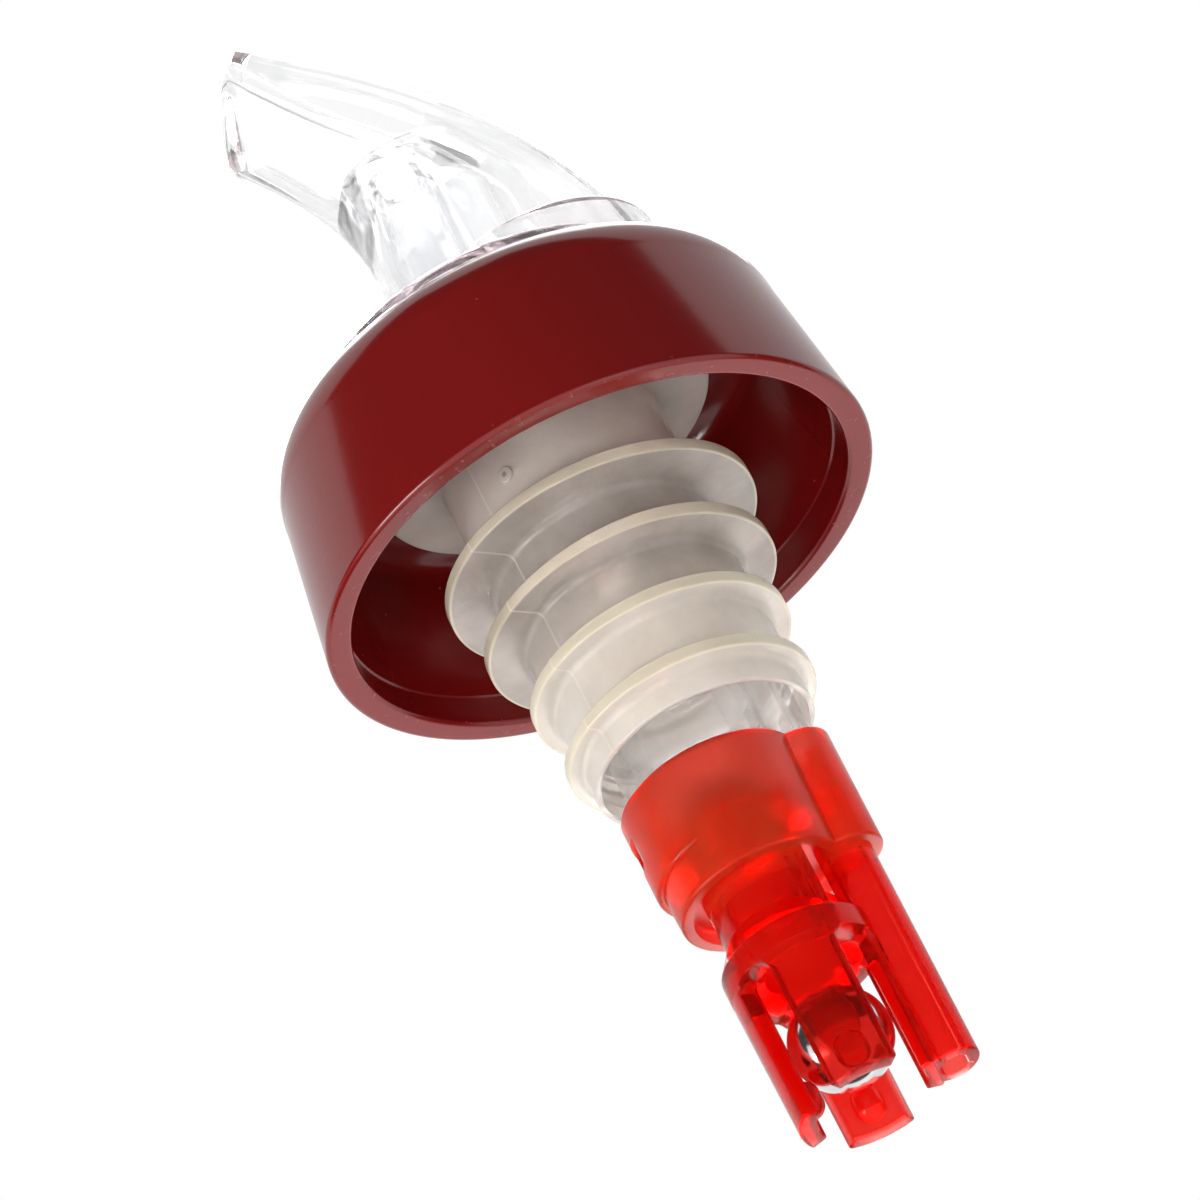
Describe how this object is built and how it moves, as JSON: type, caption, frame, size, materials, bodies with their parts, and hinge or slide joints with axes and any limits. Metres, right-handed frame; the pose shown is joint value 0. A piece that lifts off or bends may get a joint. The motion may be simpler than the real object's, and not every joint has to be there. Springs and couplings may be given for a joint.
{
  "type": "measured bottle pourer",
  "caption": "Ball-timed bottle pourer with a curved clear spout, a shroud collar, a ribbed stopper, a ball chamber and a push-on tail cap with a ball cage.",
  "frame": {"origin": "on the stopper's axis, in the plane of the flange's underside that sits on the bottle's lip", "axes": "+Z along the stopper's axis from the bottle up to the spout, -X towards the nozzle, +X towards the air channel"},
  "size_m": [0.0446, 0.0444, 0.106],
  "materials": {
    "clear_plastic": "polished clear moulding",
    "collar_plastic": "gloss dark red moulding",
    "stopper_elastomer": "milky satin elastomer",
    "cap_plastic": "translucent red moulding",
    "ball_steel": "polished steel"
  },
  "bodies": {
    "pourer": {"spout": "clear_plastic", "collar": "collar_plastic", "stopper": "stopper_elastomer", "chamber_body": "clear_plastic", "tail_cap": "cap_plastic"},
    "tail_valve": {"tail_ball": "ball_steel"},
    "upper_timer": {"upper_timing_ball": "ball_steel"},
    "lower_timer": {"lower_timing_ball": "ball_steel"}
  },
  "joints": [
    {"name": "tail_ball_lift", "type": "slide", "parent": "pourer", "child": "tail_valve", "axis": [0, 0, 1], "range_m": [0, 0.004]},
    {"name": "timing_ball_travel", "type": "slide", "parent": "pourer", "child": "lower_timer", "axis": [0, 0, 1], "range_m": [0, 0.0322]},
    {"name": "upper_ball_travel", "type": "slide", "parent": "pourer", "child": "upper_timer", "axis": [0, 0, 1], "range_m": [0, 0.0138]}
  ],
  "couplings": [
    {"joint": "upper_ball_travel", "follows": "timing_ball_travel", "ratio": 0.42857}
  ]
}
